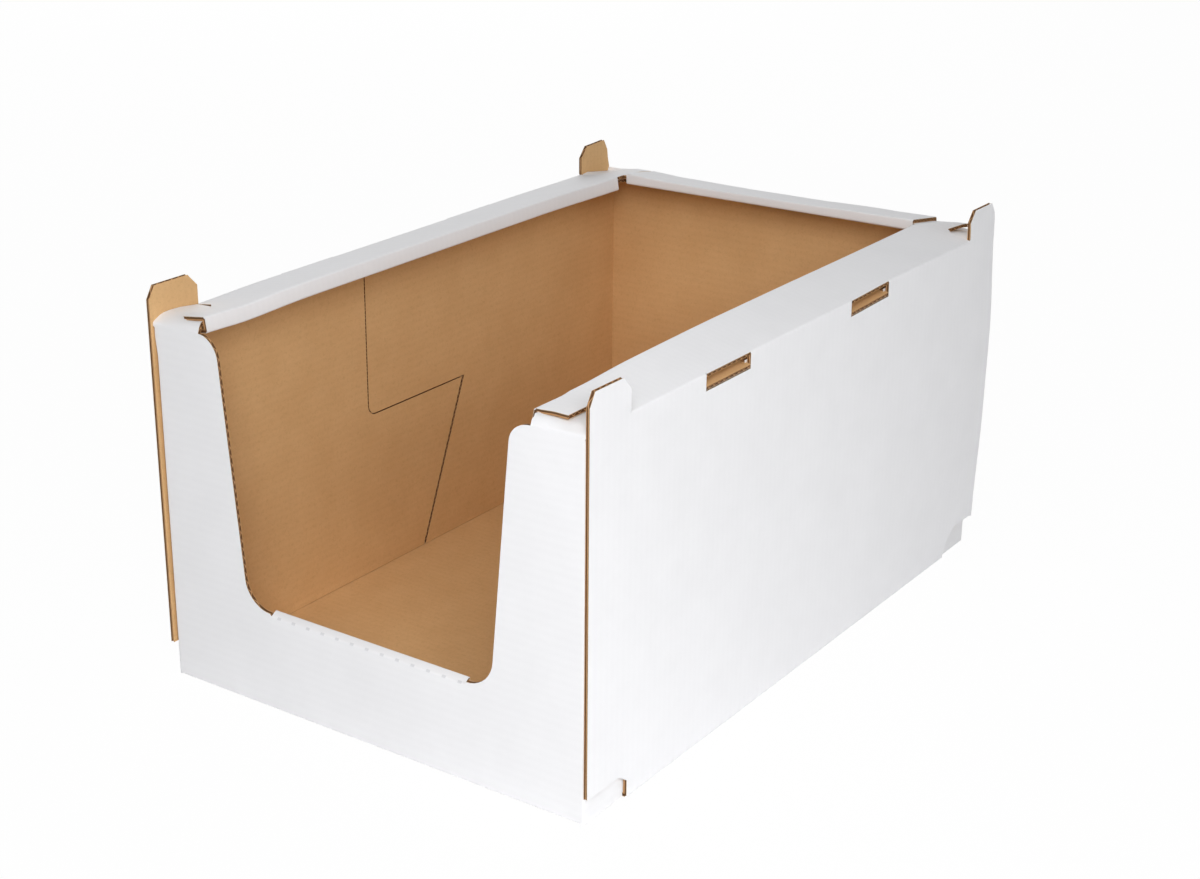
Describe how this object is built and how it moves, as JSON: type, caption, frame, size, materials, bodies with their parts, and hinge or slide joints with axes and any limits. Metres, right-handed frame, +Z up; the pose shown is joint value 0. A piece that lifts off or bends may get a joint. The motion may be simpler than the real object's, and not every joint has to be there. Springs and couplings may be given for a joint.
{
  "type": "open-front stacking cardboard tray",
  "caption": "Open-front stacking tray folded from white-faced corrugated board, with box rims, stacking tabs and corner notches.",
  "frame": {"origin": "centre of the footprint, on the underside of the floor", "axes": "+X to the right seen from the open front, +Y from the open front to the back wall, +Z up"},
  "size_m": [0.396, 0.6, 0.317],
  "materials": {
    "board": "matt white outer liner, brown kraft inner liner, raw fluted edges"
  },
  "bodies": {
    "root": {"folded_tray": "board"}
  },
  "joints": []
}
